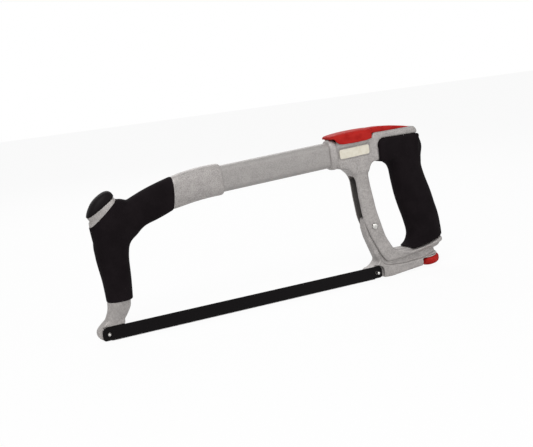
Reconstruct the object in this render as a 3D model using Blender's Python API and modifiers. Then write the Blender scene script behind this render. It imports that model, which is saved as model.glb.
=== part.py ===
"""Hacksaw with a quick-release blade tensioner.

Every size in the functions is in millimetres, and MM turns it into metres when a mesh is made.
The saw lies in the XZ plane: +X runs from the front blade pin towards the rear handle, +Z is up,
and the blade's teeth point down. Inside the saw, x is measured from the front blade pin and z
from the line through both pins; the empty "saw_origin" then moves the whole saw so that it stands
on the ground plane with its middle over the world origin.
"""
import math

import bmesh
import bpy
from mathutils import Matrix, Vector

MM = 0.001
GAP = 0.35                  # space kept between pieces that touch

# blade
PIN_SPACING = 300.0         # hole to hole
BLADE_HEIGHT = 13.9
BLADE_THICK = 0.65
BLADE_END = 6.4             # from a hole to the end of the blade
FRONT_HOLE_X = -0.6         # the blade's front hole
REAR_HOLE_X = FRONT_HOLE_X + PIN_SPACING
BLADE_Y = -4.2              # the blade hangs on the near side of the frame
TOOTH_PITCH = 25.4 / 24
BLADE_CORNERS = (5.2, 3.0)    # radius of the upper and the lower corners
BLADE_HOLE_RADIUS = 2.0
PIN_RADIUS = 1.6
PIN_TAKEUP = 0.3            # how far each pin sits off its hole's middle under tension

# tube
TUBE_HEIGHT = 26.2
TUBE_WIDTH = 14.0
TUBE_WALL = 1.8
TUBE_TILT = math.radians(2.6)
TUBE_MIDDLE = (194.0, 131.0)
TUBE_FRONT_X = 101.0
TUBE_REAR_X = 284.0

# rear handle
LEG_HALF = 8.0              # half width of the D frame
BODY_HALF = 10.0            # half width of the block behind the collar
CHANNEL_HALF = 5.6
SLOT_HALF = 6.7             # half width of the pocket for the lever
ARM_PIVOT = (300.0, 51.6)
LEVER_PIVOT = (346.0, 141.5)
KNOB_CENTRE = (371.7, 0.8)

# tensioner
THROW = 1.6                 # offset of the eccentric on the lever's shaft
ROD_RADIUS = 2.5
ARM_HALF = 5.2
ARM_WIDE_HALF = 8.0
KNOB_RADIUS = 10.8
SEAT_Y = BLADE_Y + BLADE_THICK / 2 + 0.2     # face that the blade lies against

# where the standing saw touches the ground, and the middle of its length
LOWEST_Z = -6.95
MIDDLE_X = 188.635

ROD_UP = Vector((LEVER_PIVOT[0] - KNOB_CENTRE[0], 0, LEVER_PIVOT[1] - KNOB_CENTRE[1])).normalized()
ROD_SIDE = Vector((ROD_UP.z, 0, -ROD_UP.x))


# ---------------------------------------------------------------- scene and materials

def clear_scene():
    for old in list(bpy.data.objects):
        bpy.data.objects.remove(old, do_unlink=True)


def new_collection(name):
    collection = bpy.data.collections.new(name)
    bpy.context.scene.collection.children.link(collection)
    return collection


clear_scene()
PARTS = new_collection("hacksaw")
CUTTERS = new_collection("cutters")


def add_empty(name, x, z, parent=None):
    empty = bpy.data.objects.new(name, None)
    empty.empty_display_size = 0.01
    empty.location = (x * MM, 0, z * MM)
    if parent is not None:
        empty.parent = parent
    PARTS.objects.link(empty)
    return empty


ORIGIN = add_empty("saw_origin", -MIDDLE_X, -LOWEST_Z)


def make_material(name, colour, roughness, metallic=0.0):
    material = bpy.data.materials.new(name)
    material.use_nodes = True
    shader = material.node_tree.nodes["Principled BSDF"]
    shader.inputs["Base Color"].default_value = (*colour, 1.0)
    shader.inputs["Roughness"].default_value = roughness
    shader.inputs["Metallic"].default_value = metallic
    return material


# ---------------------------------------------------------------- geometry helpers

def as_tool(obj):
    """Move an object to the cutters, where it only shapes other pieces."""
    for collection in list(obj.users_collection):
        collection.objects.unlink(obj)
    CUTTERS.objects.link(obj)
    obj.hide_render = True
    obj.display_type = 'WIRE'
    return obj


def add_mesh(name, mesh):
    obj = bpy.data.objects.new(name, mesh)
    obj.parent = ORIGIN
    PARTS.objects.link(obj)
    return obj


def boolean(obj, tool, operation='DIFFERENCE'):
    as_tool(tool)
    modifier = obj.modifiers.new(tool.name, 'BOOLEAN')
    modifier.operation = operation
    modifier.solver = 'EXACT'
    modifier.object = tool
    return obj


def finish(obj, colour, roughness, metallic=0.0, hang_on=None):
    """Give a piece its material and smooth shading, and hang a moving one on its axis."""
    obj.data.materials.clear()
    obj.data.materials.append(make_material(obj.name, colour, roughness, metallic))
    obj.data.shade_smooth()
    obj.data.set_sharp_from_angle(angle=math.radians(35))
    if hang_on is not None:
        obj.parent = hang_on
        obj.location = -hang_on.location
    return obj


def rounded(corners, arc_step=22.0):
    """Outline through corners (x, z) or (x, z, radius), each radius turned into an arc."""
    points = []
    count = len(corners)
    for i, corner in enumerate(corners):
        here = Vector(corner[:2])
        radius = corner[2] if len(corner) > 2 else 0.0
        if radius == 0:
            points.append(here)
            continue
        back = (Vector(corners[i - 1][:2]) - here).normalized()
        ahead = (Vector(corners[(i + 1) % count][:2]) - here).normalized()
        half = back.angle(ahead) / 2
        start = here + back * radius / math.tan(half)
        end = here + ahead * radius / math.tan(half)
        middle = here + (back + ahead).normalized() * radius / math.sin(half)
        turn = math.pi - 2 * half
        steps = max(1, round(math.degrees(turn) / arc_step))
        from_middle = start - middle
        side = from_middle.cross(end - middle)
        for k in range(steps + 1):
            angle = math.copysign(turn * k / steps, side)
            swing = Matrix.Rotation(angle, 2)
            points.append(middle + swing @ from_middle)
    return points


def prism(name, outlines, half_width, edge=0.0, y=0.0):
    """Flat outlines in the XZ plane, extruded both ways along Y, with edges rounded by edge."""
    curve = bpy.data.curves.new(name, 'CURVE')
    curve.dimensions = '2D'
    curve.fill_mode = 'BOTH'
    curve.extrude = (half_width - edge) * MM
    curve.bevel_depth = edge * MM
    curve.bevel_resolution = 1
    curve.offset = -edge * MM
    for points in outlines:
        spline = curve.splines.new('POLY')
        spline.points.add(len(points) - 1)
        for place, point in zip(spline.points, points):
            place.co = (point[0] * MM, point[1] * MM, 0, 1)
        spline.use_cyclic_u = True
    stand_up = Matrix.Translation((0, y * MM, 0)) @ Matrix.Rotation(math.pi / 2, 4, 'X')
    return mesh_from_curve(name, curve, stand_up)


def mesh_from_curve(name, curve, matrix):
    """Turn a curve into a closed mesh object standing at matrix inside the saw."""
    sketch = bpy.data.objects.new(name + "_sketch", curve)
    CUTTERS.objects.link(sketch)
    evaluated = sketch.evaluated_get(bpy.context.evaluated_depsgraph_get())
    mesh = bpy.data.meshes.new_from_object(evaluated)
    bpy.data.objects.remove(sketch)
    bpy.data.curves.remove(curve)
    mesh.transform(matrix)
    work = bmesh.new()
    work.from_mesh(mesh)
    bmesh.ops.remove_doubles(work, verts=work.verts, dist=0.02 * MM)
    bmesh.ops.recalc_face_normals(work, faces=work.faces)
    work.to_mesh(mesh)
    work.free()
    mesh.name = name
    return add_mesh(name, mesh)


def axis_matrix(base, direction):
    """Matrix that carries local +Z onto direction, with its origin at base (mm, saw frame)."""
    turn = Vector((0, 0, 1)).rotation_difference(Vector(direction).normalized())
    return Matrix.Translation(Vector(base) * MM) @ turn.to_matrix().to_4x4()


def rod(name, base, direction, length, radius, sides=24, end_radius=None):
    """Solid cylinder or cone from base along direction."""
    work = bmesh.new()
    tip = radius if end_radius is None else end_radius
    bmesh.ops.create_cone(work, cap_ends=True, segments=sides, radius1=radius * MM,
                          radius2=tip * MM, depth=length * MM)
    bmesh.ops.translate(work, verts=work.verts, vec=(0, 0, length * MM / 2))
    work.transform(axis_matrix(base, direction))
    mesh = bpy.data.meshes.new(name)
    work.to_mesh(mesh)
    work.free()
    return add_mesh(name, mesh)


def turned(name, profile, base, direction, steps=24):
    """Solid of revolution: profile points (radius, height) run down the outer side."""
    mesh = bpy.data.meshes.new(name)
    points = [(radius * MM, 0, height * MM) for radius, height in profile]
    mesh.from_pydata(points, [(i, i + 1) for i in range(len(points) - 1)], [])
    obj = add_mesh(name, mesh)
    obj.matrix_local = axis_matrix(base, direction)
    screw = obj.modifiers.new("turn", 'SCREW')
    screw.steps = steps
    screw.render_steps = steps
    screw.use_merge_vertices = True
    screw.merge_threshold = 0.00001
    bpy.context.view_layer.update()
    evaluated = obj.evaluated_get(bpy.context.evaluated_depsgraph_get())
    solid = bpy.data.meshes.new_from_object(evaluated)
    solid.transform(obj.matrix_local)
    bpy.data.objects.remove(obj)
    solid.name = name
    return add_mesh(name, solid)


def ring(centre, up_angle, half_up, half_wide, power=2.4, count=20):
    """Superellipse section across a path: up_angle is the path's direction in the XZ plane."""
    across = Vector((-math.sin(up_angle), 0, math.cos(up_angle)))
    points = []
    for k in range(count):
        angle = 2 * math.pi * k / count
        c = math.cos(angle)
        s = math.sin(angle)
        up = math.copysign(abs(c) ** (2 / power), c) * half_up
        wide = math.copysign(abs(s) ** (2 / power), s) * half_wide
        points.append(Vector((centre[0], 0, centre[1])) + across * up + Vector((0, wide, 0)))
    return points


def between(keys, steps):
    """Smooth rows of numbers through the key rows (Catmull-Rom), steps rows a span."""
    rows = []
    for i in range(len(keys) - 1):
        before = keys[max(i - 1, 0)]
        start = keys[i]
        end = keys[i + 1]
        after = keys[min(i + 2, len(keys) - 1)]
        for k in range(steps):
            t = k / steps
            rows.append([0.5 * (2 * b + (c - a) * t + (2 * a - 5 * b + 4 * c - d) * t ** 2
                                + (3 * b - a - 3 * c + d) * t ** 3)
                         for a, b, c, d in zip(before, start, end, after)])
    rows.append(list(keys[-1]))
    return rows


def loft(name, rings):
    """Closed body through rings of equal point count, with flat ends."""
    work = bmesh.new()
    layers = [[work.verts.new(point * MM) for point in points] for points in rings]
    count = len(layers[0])
    for low, high in zip(layers, layers[1:]):
        for k in range(count):
            n = (k + 1) % count
            work.faces.new((low[k], low[n], high[n], high[k]))
    work.faces.new(layers[0])
    work.faces.new(layers[-1])
    bmesh.ops.recalc_face_normals(work, faces=work.faces)
    mesh = bpy.data.meshes.new(name)
    work.to_mesh(mesh)
    work.free()
    return add_mesh(name, mesh)


def block(name, x_range, y_range, z_range):
    work = bmesh.new()
    bmesh.ops.create_cube(work, size=1.0)
    size = [(high - low) * MM for low, high in (x_range, y_range, z_range)]
    middle = [(high + low) / 2 * MM for low, high in (x_range, y_range, z_range)]
    bmesh.ops.scale(work, verts=work.verts, vec=size)
    bmesh.ops.translate(work, verts=work.verts, vec=middle)
    mesh = bpy.data.meshes.new(name)
    work.to_mesh(mesh)
    work.free()
    return add_mesh(name, mesh)


def cross_pin(name, centre, y_from, y_to, radius, sides=24):
    """Cylinder across the saw, from y_from to y_to."""
    return rod(name, (centre[0], y_from, centre[1]), (0, 1, 0), y_to - y_from, radius, sides)


def circle(centre, radius, sides=24):
    points = []
    for k in range(sides):
        angle = 2 * math.pi * k / sides
        points.append(Vector((centre[0] + radius * math.cos(angle),
                              centre[1] + radius * math.sin(angle))))
    return points


def along_rod(distance):
    """Point on the tension rod's axis, distance above the knob's middle."""
    return Vector((KNOB_CENTRE[0], 0, KNOB_CENTRE[1])) + ROD_UP * distance


def beside_rod(distance, side):
    """Point (x, z) beside the rod's axis, side towards the rear."""
    point = along_rod(distance) + ROD_SIDE * side
    return (point.x, point.z)


# ---------------------------------------------------------------- front handle

# sections of the rubber sleeve: middle x, middle z, path angle, half height, half width
SLEEVE_KEYS = [
    (15.2, 29.7, 91, 12.6, 10.8),
    (15.1, 49.5, 91, 13.8, 12.0),
    (13.9, 72.5, 88, 15.8, 12.8),
    (16.2, 88.0, 76, 17.8, 13.0),
    (28.0, 102.0, 48, 18.0, 12.4),
    (42.0, 109.5, 26, 15.4, 11.4),
    (57.5, 115.2, 16, 16.0, 10.4),
    (80.6, 122.5, -4, 16.5, 9.4),
]
# the sleeve's straight front up to the knob, and the hollow behind the knob
BROW_KEYS = [
    (14.5, 70.0, 90, 14.6, 11.0),
    (12.4, 90.0, 92, 14.9, 11.0),
    (10.8, 104.0, 101, 14.9, 10.0),
    (10.0, 113.0, 112, 15.2, 8.8),
]
SADDLE_KEYS = [
    (16.0, 110.0, 30, 9.0, 8.0),
    (27.0, 115.2, 12, 10.6, 8.5),
    (38.0, 114.4, 20, 9.6, 9.0),
]
# sections of the knob: distance along the knob's axis, half length, half width
KNOB_KEYS = [(-26.0, 12.5, 11.0), (-17.0, 15.0, 11.2), (-8.0, 16.2, 9.8), (0.0, 16.3, 8.4)]
KNOB_TOP = (8.7, 120.5)     # middle of the plane under the rubber cap
KNOB_ANGLE = 121.5          # direction of the knob's axis
SLEEVE_SKIN = 3.0
SLEEVE_CUT = [(-3.9, 103.0), (24.6, 126.4)]     # the sleeve ends along this line at the knob
# sections of the rubber pad: height, reach to the front, reach to the rear, half width
CAP_KEYS = [(GAP, 16.3, 16.7, 8.6), (2.6, 15.3, 16.9, 8.6), (5.2, 12.8, 16.5, 8.0), (7.6, 8.8, 15.0, 6.6),
            (9.4, 3.2, 11.4, 4.6)]
SOCKET_KEYS = [
    (81.0, 122.6, -4, 15.9, 8.9),
    (98.0, 125.7, 7, 15.9, 8.9),
    (116.0, 127.6, 3, 15.9, 8.8),
    (130.5, 128.1, 2.6, 15.7, 8.6),
    (132.6, 128.2, 2.6, 14.7, 7.9),
]
FOOT_KEYS = [
    (14.2, 29.3, 91, 11.3, 9.4),
    (13.4, 22.5, 95, 11.5, 8.6),
    (10.9, 17.0, 103, 12.6, 7.8),
    (6.6, 10.5, 108, 14.4, 6.8),
    (4.6, 6.0, 110, 13.0, 6.2),
]
FOOT_OUTLINE = [(-11.0, 4.2, 6), (-10.2, -2.6, 5), (-5.4, -5.6, 3), (3.0, -5.6, 6), (12.5, -0.6, 8),
                (15.6, 5.6, 4), (17.6, 12.0, 4), (10.0, 15.0, 3), (-2.0, 12.4, 5), (-6.6, 8.6, 6)]


def path_rings(keys, steps, inset=0.0, power=2.3):
    """Rings through section keys, drawn in by inset."""
    rings = []
    for x, z, angle, half_up, half_wide in between(keys, steps):
        rings.append(ring((x, z), math.radians(angle), half_up - inset, half_wide - inset, power))
    return rings


def knob_rings(inset=0.0, from_end=0, raise_end=0.0):
    """Rings of the knob, which leaves the bend up and forward."""
    angle = math.radians(KNOB_ANGLE)
    rings = []
    for distance, half_long, half_wide in between(KNOB_KEYS[from_end:], 2):
        lift = raise_end if distance == 0 else 0.0
        centre = (KNOB_TOP[0] + (distance + lift) * math.cos(angle),
                  KNOB_TOP[1] + (distance + lift) * math.sin(angle))
        rings.append(ring(centre, angle, half_long - inset, half_wide - inset))
    return rings


def above_sleeve_cut(name, gap):
    """Prism over the line where the sleeve ends at the knob, moved up the line's normal by gap."""
    low = Vector(SLEEVE_CUT[0])
    high = Vector(SLEEVE_CUT[1])
    along = (high - low).normalized()
    normal = Vector((-along.y, along.x))
    start = low - along * 30 + normal * gap
    end = high + along * 60 + normal * gap
    return prism(name, [[start, end, end + normal * 60, start + normal * 60]], 30)


def add_fillings(body, name, inset):
    """Join the brow and the saddle to a body, drawn in by inset."""
    boolean(body, loft(name + "_brow", path_rings(BROW_KEYS, 2, inset)), 'UNION')
    boolean(body, loft(name + "_saddle", path_rings(SADDLE_KEYS, 2, inset)), 'UNION')


def make_front_handle():
    body = loft("front_handle", longer_rings(SLEEVE_KEYS, SLEEVE_SKIN))
    add_fillings(body, "core", SLEEVE_SKIN)
    boolean(body, loft("foot_leg", path_rings(FOOT_KEYS, 2)), 'UNION')
    boolean(body, prism("foot_toe", [rounded(FOOT_OUTLINE)], 6.0, 1.2), 'UNION')
    boolean(body, loft("knob_core", knob_rings(SLEEVE_SKIN)), 'UNION')
    boolean(body, loft("socket", path_rings(SOCKET_KEYS, 2, 0.0, 2.8)), 'UNION')
    head = loft("knob_head", knob_rings(0.4, 1))
    boolean(head, loft("head_brow", path_rings(BROW_KEYS, 2, 0.4)), 'UNION')
    boolean(head, above_sleeve_cut("head_limit", GAP), 'INTERSECT')
    boolean(body, head, 'UNION')
    boolean(body, tube_bar("front_bore", 0.15, TUBE_FRONT_X - 1, 150.0))
    boolean(body, block("blade_seat_front", (-30, 40), (-30, SEAT_Y), (-20, BLADE_HEIGHT / 2 + 0.9)))
    boolean(body, cross_pin("front_pin_hole", (FRONT_HOLE_X - PIN_TAKEUP, 0), -10, 3.0,
                            PIN_RADIUS + 0.1))
    boolean(body, rod("front_tube_pin_hole", (116.0, 0, 100.0), (0, 0, 1), 22, 2.1))
    boolean(body, rod("cap_stud_hole", knob_point(-9.0), knob_direction(), 20, 3.0 + GAP))
    return finish(body, (0.38, 0.36, 0.34), 0.42, 0.75)


def knob_direction():
    angle = math.radians(KNOB_ANGLE)
    return Vector((math.cos(angle), 0, math.sin(angle)))


def knob_point(distance):
    return Vector((KNOB_TOP[0], 0, KNOB_TOP[1])) + knob_direction() * distance


def make_front_grip():
    sleeve = loft("front_grip", path_rings(SLEEVE_KEYS, 3))
    add_fillings(sleeve, "sleeve", 0.0)
    boolean(sleeve, loft("sleeve_knob", knob_rings()), 'UNION')
    boolean(sleeve, above_sleeve_cut("sleeve_end", 0.0))
    inner = loft("sleeve_inner", longer_rings(SLEEVE_KEYS, SLEEVE_SKIN - GAP))
    add_fillings(inner, "sleeve_inner", SLEEVE_SKIN - GAP)
    boolean(inner, loft("sleeve_inner_knob", knob_rings(SLEEVE_SKIN - GAP, raise_end=1.5)), 'UNION')
    boolean(sleeve, inner)
    return finish(sleeve, (0.012, 0.010, 0.011), 0.72)


def longer_rings(keys, inset):
    """Rings like path_rings, run 6 mm past both ends so that they cut through."""
    rings = path_rings(keys, 2, inset)
    first = math.radians(keys[0][2])
    last = math.radians(keys[-1][2])
    back = Vector((math.cos(first), 0, math.sin(first))) * -6.0
    ahead = Vector((math.cos(last), 0, math.sin(last))) * 6.0
    before = [point + back for point in rings[0]]
    after = [point + ahead for point in rings[-1]]
    return [before] + rings + [after]


def make_knob_cap():
    """Domed rubber pad with a stud that sits in the knob."""
    angle = math.radians(KNOB_ANGLE)
    rings = []
    for height, front, rear, half_wide in CAP_KEYS:
        middle = (front - rear) / 2
        centre = (KNOB_TOP[0] + height * math.cos(angle) - middle * math.sin(angle),
                  KNOB_TOP[1] + height * math.sin(angle) + middle * math.cos(angle))
        rings.append(ring(centre, angle, (front + rear) / 2, half_wide))
    cap = loft("knob_cap", rings)
    boolean(cap, rod("cap_stud", knob_point(-8.0), knob_direction(), 10.0, 3.0, 16), 'UNION')
    return finish(cap, (0.012, 0.010, 0.011), 0.7)


# ---------------------------------------------------------------- tube

def tube_outline(grow):
    """Rounded rectangle of the tube's section, as (across, up)."""
    half_wide = TUBE_WIDTH / 2 + grow
    half_high = TUBE_HEIGHT / 2 + grow
    radius = 5.5 + grow
    return rounded([(-half_wide, -half_high, radius), (half_wide, -half_high, radius),
                    (half_wide, half_high, radius), (-half_wide, half_high, radius)])


def tube_bar(name, grow, x_from, x_to, bore=None):
    """Bar along the tube's axis, hollow when bore is given."""
    curve = bpy.data.curves.new(name, 'CURVE')
    curve.dimensions = '2D'
    curve.fill_mode = 'BOTH'
    half = (x_to - x_from) / 2 / math.cos(TUBE_TILT)
    curve.extrude = half * MM
    for outline in [tube_outline(grow)] + ([] if bore is None else [tube_outline(bore)]):
        spline = curve.splines.new('POLY')
        spline.points.add(len(outline) - 1)
        for place, point in zip(spline.points, outline):
            place.co = (point[0] * MM, point[1] * MM, 0, 1)
        spline.use_cyclic_u = True
    middle_x = (x_from + x_to) / 2
    middle_z = TUBE_MIDDLE[1] + (middle_x - TUBE_MIDDLE[0]) * math.tan(TUBE_TILT)
    lie_along_x = Matrix(((0, 0, 1), (1, 0, 0), (0, 1, 0))).to_4x4()
    lean = Matrix.Rotation(-TUBE_TILT, 4, 'Y')
    place = Matrix.Translation((middle_x * MM, 0, middle_z * MM))
    return mesh_from_curve(name, curve, place @ lean @ lie_along_x)


def make_tube():
    tube = tube_bar("frame_tube", 0.0, TUBE_FRONT_X, TUBE_REAR_X, -TUBE_WALL)
    boolean(tube, rod("tube_hole_front", (116.0, 0, 100.0), (0, 0, 1), 22, 2.3))
    boolean(tube, rod("tube_hole_rear", (268.0, 0, 105.0), (0, 0, 1), 22, 2.3))
    return finish(tube, (0.35, 0.34, 0.32), 0.4, 0.75)


def make_tube_pins():
    """Spring pins that lock the tube in its two sockets from below."""
    for name, x, z in (("front_tube_pin", 116.0, 112.6), ("rear_tube_pin", 268.0, 117.9)):
        pin = rod(name, (x, 0, z), (0, 0, 1), 8.0, 1.95, 16)
        boolean(pin, rod(name + "_bore", (x, 0, z - 1), (0, 0, 1), 10.0, 1.1, 12))
        finish(pin, (0.5, 0.5, 0.5), 0.35, 1.0)


# ---------------------------------------------------------------- rear handle

FRAME_OUTER = [
    (266, 121), (272, 116.6, 3), (278.6, 112.5, 5), (282.6, 103.0, 10), (284.2, 85.0, 60),
    (287.2, 62.0, 40), (294.8, 41.0, 30), (305.8, 18.6, 20), (312.0, 9.9, 6), (333.0, 10.4, 60),
    (375.7, 14.9, 10), (381.0, 16.6, 2), (383.6, 24.0, 2), (379.5, 30.0, 4), (363.4, 118.0, 12),
    (363.4, 145.0), (266, 145.0),
]
HAND_OPENING = [
    (299.8, 97.0, 60), (298.4, 109.0, 14), (303.2, 121.0, 7), (312.6, 121.0), (312.6, 124.2),
    (340.6, 124.2), (357.3, 30.0), (356.5, 21.2), (323.4, 21.0, 7), (313.4, 38.0, 30),
    (304.8, 68.0, 60),
]
CHANNEL = [
    (262, 107), (288, 108.5, 3), (296.4, 105.5, 4), (297.3, 95.0, 40), (301.6, 69.3, 60),
    (310.4, 39.3, 40), (319.4, 17.7, 7), (376.2, 17.7, 2), (379.2, -10), (262, -10),
]
BLOCK_OUTLINE = [
    (258.0, 119.6, 2), (264.0, 117.9, 4), (273.6, 116.4, 4), (281.6, 109.0, 8), (298.0, 109.0, 5),
    (303.4, 121.0, 7), (312.6, 121.0), (312.6, 143.6, 7), (363.4, 143.6, 2), (363.2, 147.0, 2),
    (360.0, 151.6, 2.5), (309.0, 150.9, 2.4), (306.4, 148.4, 1.8), (258.0, 148.6, 2),
]
COLLAR_KEYS = [
    (254.5, 133.75, 2.6, 14.3, 8.4),
    (256.3, 133.8, 2.6, 15.7, 9.8),
    (260.0, 133.9, 2.6, 16.0, 10.4),
    (268.0, 133.6, 2.6, 15.9, 10.2),
]
# casting under the rear grip: middle x, middle z, path angle, half height, half width
FLANGE_KEYS = [
    (322.0, 17.0, -8, 3.6, 7.0),
    (332.0, 16.8, -8, 4.4, 8.6),
    (343.0, 15.6, 0, 3.2, 10.8),
    (354.0, 17.1, 6, 2.7, 11.6),
    (370.0, 20.3, 13, 2.9, 11.6),
    (380.0, 23.6, 17, 3.1, 10.6),
    (384.6, 25.2, 18, 2.7, 9.0),
    (386.2, 25.8, 18, 1.8, 7.2),
]
LABEL_MIDDLE = (282.9, 134.2)
LABEL_SIZE = (37.6, 11.4)


def label_outline(grow):
    """Rounded rectangle for the plate, tilted with the tube."""
    half_long = LABEL_SIZE[0] / 2 + grow
    half_high = LABEL_SIZE[1] / 2 + grow
    box = rounded([(-half_long, -half_high, 2), (half_long, -half_high, 2),
                   (half_long, half_high, 2), (-half_long, half_high, 2)])
    lean = Matrix.Rotation(TUBE_TILT, 2)
    return [lean @ point + Vector(LABEL_MIDDLE) for point in box]


def make_rear_handle():
    handle = prism("rear_handle", [rounded(FRAME_OUTER), rounded(HAND_OPENING)], LEG_HALF, 1.8)
    boolean(handle, prism("handle_block", [rounded(BLOCK_OUTLINE)], BODY_HALF, 1.6), 'UNION')
    boolean(handle, loft("collar", path_rings(COLLAR_KEYS, 2, 0.0, 2.8)), 'UNION')
    boolean(handle, loft("grip_flange", path_rings(FLANGE_KEYS, 2, 0.0, 2.6)), 'UNION')
    boolean(handle, prism("channel_room", [rounded(CHANNEL)], CHANNEL_HALF))
    boolean(handle, tube_bar("rear_bore", 0.15, 240.0, TUBE_REAR_X + 1))
    slot = [(302.4, 146.3), (358.6, 146.3), (358.6, 160), (302.4, 160)]
    boolean(handle, prism("lever_slot", [slot], SLOT_HALF))
    boolean(handle, cross_pin("lever_well", LEVER_PIVOT, -SLOT_HALF, SLOT_HALF, 15.4, 32))
    boolean(handle, rod("rod_bore", along_rod(10.0), ROD_UP, 122.0, 3.9, 20))
    boolean(handle, rod("bush_bore", along_rod(14.0), ROD_UP, 22.0, 5.2, 20))
    boolean(handle, cross_pin("shaft_holes", LEVER_PIVOT, -12, 12, 2.3))
    boolean(handle, cross_pin("pivot_holes", ARM_PIVOT, -12, 12, 2.6))
    boolean(handle, rod("rear_tube_pin_hole", (268.0, 0, 105.0), (0, 0, 1), 22, 2.1))
    boolean(handle, prism("label_room", [label_outline(0.9)], 2.0, 0.0, -BODY_HALF - 0.9))
    return finish(handle, (0.38, 0.36, 0.34), 0.42, 0.75)


def make_name_plate():
    plate = prism("name_plate", [label_outline(-0.9)], 0.35, 0.0, -BODY_HALF + 0.4)
    return finish(plate, (0.75, 0.72, 0.62), 0.35)


# level sections of the rear grip: z, front x, rear x, half width
GRIP_KEYS = [
    (10.0, 335.0, 388.8, 12.4), (19.5, 334.4, 388.8, 13.0), (25.2, 341.6, 388.6, 13.3),
    (30.5, 345.2, 388.0, 13.6), (37.5, 346.4, 387.2, 13.9), (51.5, 343.2, 385.2, 14.2),
    (65.3, 338.8, 381.4, 14.2), (80.3, 334.8, 377.2, 14.0), (96.5, 332.0, 371.5, 13.6),
    (108.0, 330.4, 368.5, 13.4), (119.0, 326.8, 369.5, 13.1), (130.0, 323.8, 371.7, 12.9),
    (142.5, 321.4, 367.5, 12.2),
]
GRIP_BOTTOM = [(320.0, 28.8), (332.5, 23.8), (340.0, 19.8, 4), (346.0, 19.4, 8), (360.0, 21.2, 30),
               (376.0, 25.4, 30), (398.0, 36.0), (398.0, 0), (320.0, 0)]
GRIP_TOP = [(313.2, 119.6, 2.5), (320.0, 118.2, 4), (330.0, 119.0), (345.0, 125.0), (362.0, 125.0),
            (365.2, 143.2), (313.2, 143.2, 6.5)]


def spine_outline(grow):
    """Outline of what the rear grip is moulded round, drawn a little larger."""
    return [(320.0, 5.0), (383.6 + grow, 5.0), (383.6 + grow, 24.2), (380.0 + grow, 30.0),
            (363.4 + grow, 118.0), (363.4 + grow, 150.0), (300.0, 150.0), (300.0, 124.2 - grow),
            (340.6 - grow, 124.2 - grow), (357.3 - grow, 30.0), (356.5 - grow, 21.2 + grow),
            (320.0, 21.2 + grow)]


def make_rear_grip():
    rings = []
    for z, front, rear, half_wide in between(GRIP_KEYS, 2):
        rings.append(ring(((front + rear) / 2, z), math.pi / 2, (rear - front) / 2, half_wide))
    grip = loft("rear_grip", rings)
    boolean(grip, prism("grip_top", [rounded(GRIP_TOP)], 12.2, 2.2), 'UNION')
    boolean(grip, prism("grip_bottom", [rounded(GRIP_BOTTOM)], 20.0))
    boolean(grip, prism("grip_inner", [spine_outline(GAP)], LEG_HALF + GAP))
    return finish(grip, (0.012, 0.010, 0.011), 0.72)


# ---------------------------------------------------------------- tensioner

LEVER_NARROW = [
    (303.0, 146.9), (331.0, 146.9, 2), (340.0, 136.8, 3), (346.0, 135.3, 5), (352.2, 138.0, 4),
    (355.4, 147.0, 3), (356.0, 151.4, 1.3), (349.4, 153.0, 60), (336.9, 154.9, 60),
    (318.0, 156.5, 60), (303.0, 156.4),
]
# wide front of the lever: x, top z, skirt's lower edge, half width
LEVER_WIDE_KEYS = [
    (255.6, 152.5, 150.0, 8.4),
    (256.8, 153.4, 150.1, 10.0),
    (259.0, 154.2, 150.3, 11.2),
    (262.2, 154.8, 146.6, 11.8),
    (266.4, 155.3, 144.2, 12.0),
    (275.0, 156.1, 143.7, 12.0),
    (288.0, 156.7, 143.9, 12.0),
    (299.0, 156.8, 144.7, 12.0),
    (304.6, 156.7, 145.8, 11.8),
]


def lever_section(x, top, bottom, half_wide):
    """Arched section: straight sides up from the skirt's edge, then a flat crown."""
    shoulder = min(5.0, (top - bottom) * 0.8)
    points = [Vector((x, -half_wide, bottom))]
    for k in range(9):
        angle = math.pi * k / 8
        c = math.cos(angle)
        y = -math.copysign(abs(c) ** 0.75, c) * half_wide
        points.append(Vector((x, y, top - shoulder + shoulder * math.sin(angle) ** 0.75)))
    points.append(Vector((x, half_wide, bottom)))
    return points


def rod_room_outline():
    """Slot between the lever's cheeks: round over the rod's eye, open below and behind."""
    x, z = LEVER_PIVOT
    reach = 9.6
    rear_top = 5.2
    start = math.asin(rear_top / reach)
    steps = 9
    points = [(x + 16, z - 12), (x + 16, z + rear_top)]
    for k in range(steps + 1):
        angle = start + (math.pi - start) * k / steps
        points.append((x + reach * math.cos(angle), z + reach * math.sin(angle)))
    return points + [(x - reach, z - 12)]


def make_lever(axis):
    rings = [lever_section(*key) for key in between(LEVER_WIDE_KEYS, 2)]
    lever = loft("tension_lever", rings)
    crown = [(254.0, 140), (318.0, 140), (318.0, 150.2), (302.0, 150.2, 1), (258.0, 149.9, 1),
             (254.0, 149.2)]
    boolean(lever, prism("lever_hollow", [rounded(crown)], BODY_HALF + 0.6))
    boolean(lever, prism("lever_tail", [rounded(LEVER_NARROW)], SLOT_HALF - 0.5, 1.2), 'UNION')
    boolean(lever, prism("rod_room", [rod_room_outline()], 3.0))
    boolean(lever, cross_pin("lever_bore", LEVER_PIVOT, -12, 12, 2.2 + 0.15))
    return finish(lever, (0.46, 0.032, 0.028), 0.35, 0.0, axis)


def eccentric_middle():
    middle = Vector((LEVER_PIVOT[0], 0, LEVER_PIVOT[1])) + ROD_UP * THROW
    return (middle.x, middle.z)


def make_lever_shaft(axis):
    shaft = cross_pin("lever_shaft", LEVER_PIVOT, -7.8, 7.8, 2.2)
    boolean(shaft, cross_pin("eccentric", eccentric_middle(), -2.8, 2.8, 3.6), 'UNION')
    return finish(shaft, (0.55, 0.55, 0.55), 0.3, 1.0, axis)


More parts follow.
